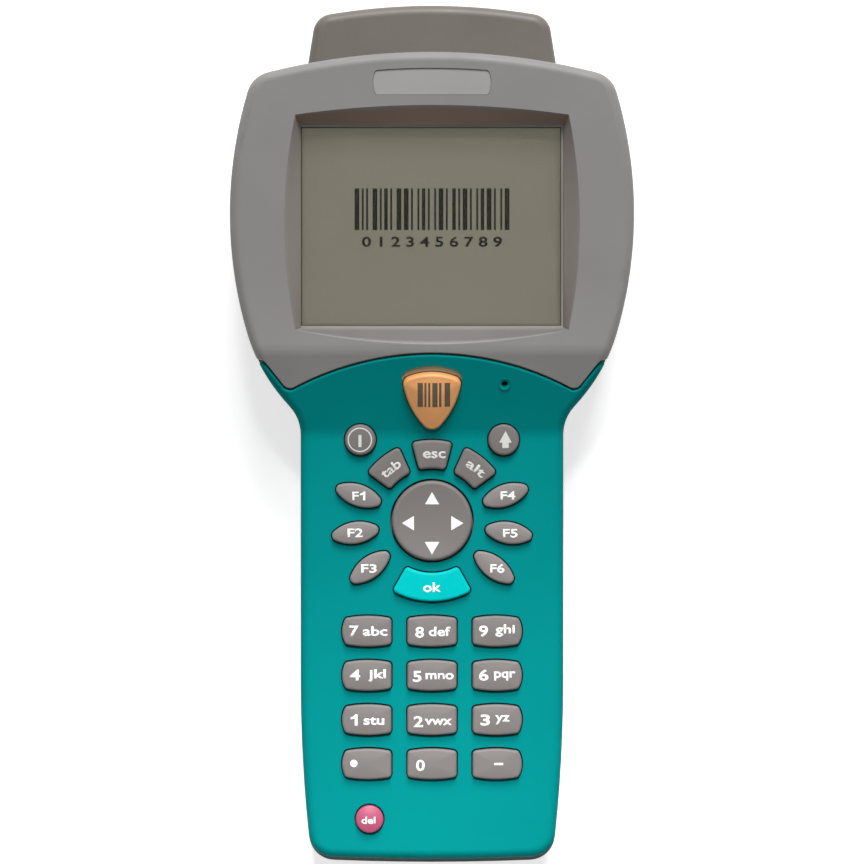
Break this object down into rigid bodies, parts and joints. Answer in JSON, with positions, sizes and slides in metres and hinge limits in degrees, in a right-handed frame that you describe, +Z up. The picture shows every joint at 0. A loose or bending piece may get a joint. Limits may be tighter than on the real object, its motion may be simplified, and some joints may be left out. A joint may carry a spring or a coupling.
{
  "type": "portable barcode data terminal",
  "caption": "Hand-held data terminal with a recessed display, curved grip with a rubber-backed keypad, rocking round control, scan key and a scan head at the far end.",
  "frame": {"origin": "on the rest plane under the centre of the outline", "axes": "+Z up out of the keypad, +Y from the grip to the scan head, +X to the reader's right"},
  "size_m": [0.1012, 0.2158, 0.037],
  "materials": {
    "case_grey": "fine moulded texture",
    "scan_grey": "fine moulded texture, darker",
    "grip_teal": "fine moulded texture",
    "key_grey": "moulded, softly worn",
    "key_amber": "moulded",
    "key_aqua": "moulded, translucent look",
    "key_pink": "moulded",
    "badge": "smooth",
    "window_clear": "polished",
    "scan_glass": "polished, dark red tint",
    "lcd": "reflective display face",
    "light_guide": "white light guide",
    "frame_steel": "plated sheet",
    "screw_steel": "plated",
    "board": "solder mask",
    "rubber_grey": "silicone",
    "gasket_black": "foam",
    "cell_wrap": "shrink wrap",
    "contact": "plated spring",
    "black_plastic": "moulded",
    "flex": "polyimide film",
    "mirror": "front-coated"
  },
  "bodies": {
    "case": {"antenna": "black_plastic", "battery_cells": "cell_wrap", "battery_contacts": "contact", "board_screws": "screw_steel", "buzzer": "black_plastic", "case_gasket": "gasket_black", "case_screws": "screw_steel", "coin_cell": "frame_steel", "display_gasket": "gasket_black", "display_window": "window_clear", "dock_connector": "black_plastic", "front_bezel": "case_grey", "front_grip_shell": "grip_teal", "keypad_board": "board", "keypad_flex": "flex", "keypad_mat": "rubber_grey", "lcd_backlight": "light_guide", "lcd_flex": "flex", "lcd_frame": "frame_steel", "lcd_panel": "lcd", "main_board": "board", "name_plate": "badge", "processor_shield": "frame_steel", "radio_module": "frame_steel", "rear_shell": "case_grey", "scan_engine_body": "black_plastic", "scan_engine_bracket": "frame_steel", "scan_head_cover": "scan_grey", "scan_switch": "black_plastic", "scan_window": "scan_glass"},
    "power_key": {"power_key": "key_grey"},
    "shift_key": {"shift_key": "key_grey"},
    "esc_key": {"esc_key": "key_grey"},
    "tab_key": {"tab_key": "key_grey"},
    "alt_key": {"alt_key": "key_grey"},
    "ok_key": {"ok_key": "key_aqua"},
    "f1_key": {"f1_key": "key_grey"},
    "f2_key": {"f2_key": "key_grey"},
    "f3_key": {"f3_key": "key_grey"},
    "f4_key": {"f4_key": "key_grey"},
    "f5_key": {"f5_key": "key_grey"},
    "f6_key": {"f6_key": "key_grey"},
    "key_7": {"key_7": "key_grey"},
    "key_8": {"key_8": "key_grey"},
    "key_9": {"key_9": "key_grey"},
    "key_4": {"key_4": "key_grey"},
    "key_5": {"key_5": "key_grey"},
    "key_6": {"key_6": "key_grey"},
    "key_1": {"key_1": "key_grey"},
    "key_2": {"key_2": "key_grey"},
    "key_3": {"key_3": "key_grey"},
    "key_dot": {"key_dot": "key_grey"},
    "key_0": {"key_0": "key_grey"},
    "key_dash": {"key_dash": "key_grey"},
    "delete_key": {"delete_key": "key_pink"},
    "scan_key": {"scan_key": "key_amber"},
    "nav_pivot": {"nav_pivot": "screw_steel"},
    "nav_disc": {"nav_disc": "key_grey"},
    "battery_door": {"battery_door": "case_grey"},
    "scan_mirror": {"scan_mirror": "mirror"}
  },
  "joints": [
    {"name": "power_key_press", "type": "slide", "parent": "case", "child": "power_key", "axis": [0, 0, -1], "range_m": [0, 0.0012], "stiffness_N_per_m": 600},
    {"name": "shift_key_press", "type": "slide", "parent": "case", "child": "shift_key", "axis": [0, 0, -1], "range_m": [0, 0.0012], "stiffness_N_per_m": 600},
    {"name": "esc_key_press", "type": "slide", "parent": "case", "child": "esc_key", "axis": [0, 0, -1], "range_m": [0, 0.0012], "stiffness_N_per_m": 600},
    {"name": "tab_key_press", "type": "slide", "parent": "case", "child": "tab_key", "axis": [0, 0, -1], "range_m": [0, 0.0012], "stiffness_N_per_m": 600},
    {"name": "alt_key_press", "type": "slide", "parent": "case", "child": "alt_key", "axis": [0, 0, -1], "range_m": [0, 0.0012], "stiffness_N_per_m": 600},
    {"name": "ok_key_press", "type": "slide", "parent": "case", "child": "ok_key", "axis": [0, 0, -1], "range_m": [0, 0.0012], "stiffness_N_per_m": 600},
    {"name": "f1_key_press", "type": "slide", "parent": "case", "child": "f1_key", "axis": [0, 0, -1], "range_m": [0, 0.0012], "stiffness_N_per_m": 600},
    {"name": "f2_key_press", "type": "slide", "parent": "case", "child": "f2_key", "axis": [0, 0, -1], "range_m": [0, 0.0012], "stiffness_N_per_m": 600},
    {"name": "f3_key_press", "type": "slide", "parent": "case", "child": "f3_key", "axis": [0, 0, -1], "range_m": [0, 0.0012], "stiffness_N_per_m": 600},
    {"name": "f4_key_press", "type": "slide", "parent": "case", "child": "f4_key", "axis": [0, 0, -1], "range_m": [0, 0.0012], "stiffness_N_per_m": 600},
    {"name": "f5_key_press", "type": "slide", "parent": "case", "child": "f5_key", "axis": [0, 0, -1], "range_m": [0, 0.0012], "stiffness_N_per_m": 600},
    {"name": "f6_key_press", "type": "slide", "parent": "case", "child": "f6_key", "axis": [0, 0, -1], "range_m": [0, 0.0012], "stiffness_N_per_m": 600},
    {"name": "key_7_press", "type": "slide", "parent": "case", "child": "key_7", "axis": [0, 0, -1], "range_m": [0, 0.0012], "stiffness_N_per_m": 600},
    {"name": "key_8_press", "type": "slide", "parent": "case", "child": "key_8", "axis": [0, 0, -1], "range_m": [0, 0.0012], "stiffness_N_per_m": 600},
    {"name": "key_9_press", "type": "slide", "parent": "case", "child": "key_9", "axis": [0, 0, -1], "range_m": [0, 0.0012], "stiffness_N_per_m": 600},
    {"name": "key_4_press", "type": "slide", "parent": "case", "child": "key_4", "axis": [0, 0, -1], "range_m": [0, 0.0012], "stiffness_N_per_m": 600},
    {"name": "key_5_press", "type": "slide", "parent": "case", "child": "key_5", "axis": [0, 0, -1], "range_m": [0, 0.0012], "stiffness_N_per_m": 600},
    {"name": "key_6_press", "type": "slide", "parent": "case", "child": "key_6", "axis": [0, 0, -1], "range_m": [0, 0.0012], "stiffness_N_per_m": 600},
    {"name": "key_1_press", "type": "slide", "parent": "case", "child": "key_1", "axis": [0, 0, -1], "range_m": [0, 0.0012], "stiffness_N_per_m": 600},
    {"name": "key_2_press", "type": "slide", "parent": "case", "child": "key_2", "axis": [0, 0, -1], "range_m": [0, 0.0012], "stiffness_N_per_m": 600},
    {"name": "key_3_press", "type": "slide", "parent": "case", "child": "key_3", "axis": [0, 0, -1], "range_m": [0, 0.0012], "stiffness_N_per_m": 600},
    {"name": "key_dot_press", "type": "slide", "parent": "case", "child": "key_dot", "axis": [0, 0, -1], "range_m": [0, 0.0012], "stiffness_N_per_m": 600},
    {"name": "key_0_press", "type": "slide", "parent": "case", "child": "key_0", "axis": [0, 0, -1], "range_m": [0, 0.0012], "stiffness_N_per_m": 600},
    {"name": "key_dash_press", "type": "slide", "parent": "case", "child": "key_dash", "axis": [0, 0, -1], "range_m": [0, 0.0012], "stiffness_N_per_m": 600},
    {"name": "delete_key_press", "type": "slide", "parent": "case", "child": "delete_key", "axis": [0, 0, -1], "range_m": [0, 0.0012], "stiffness_N_per_m": 600},
    {"name": "scan_key_press", "type": "slide", "parent": "case", "child": "scan_key", "axis": [0, 0.319, -0.9478], "range_m": [0, 0.0012], "stiffness_N_per_m": 600},
    {"name": "nav_up_down", "type": "hinge", "parent": "case", "child": "nav_pivot", "pos_m": [0, -0.0214, 0.02609], "axis": [1, 0, 0], "range_deg": [-4, 4], "stiffness_Nm_per_rad": 0.076},
    {"name": "nav_left_right", "type": "hinge", "parent": "nav_pivot", "child": "nav_disc", "pos_m": [0, -0.0214, 0.02609], "axis": [0, 1, 0], "range_deg": [-4, 4], "stiffness_Nm_per_rad": 0.076},
    {"name": "battery_door_slide", "type": "slide", "parent": "case", "child": "battery_door", "axis": [0, -1, 0], "range_m": [0, 0.078]},
    {"name": "scan_mirror_swing", "type": "hinge", "parent": "case", "child": "scan_mirror", "pos_m": [0, 0.0945, 0.0129], "axis": [0, 0, 1], "range_deg": [-12, 12], "stiffness_Nm_per_rad": 0.004}
  ]
}
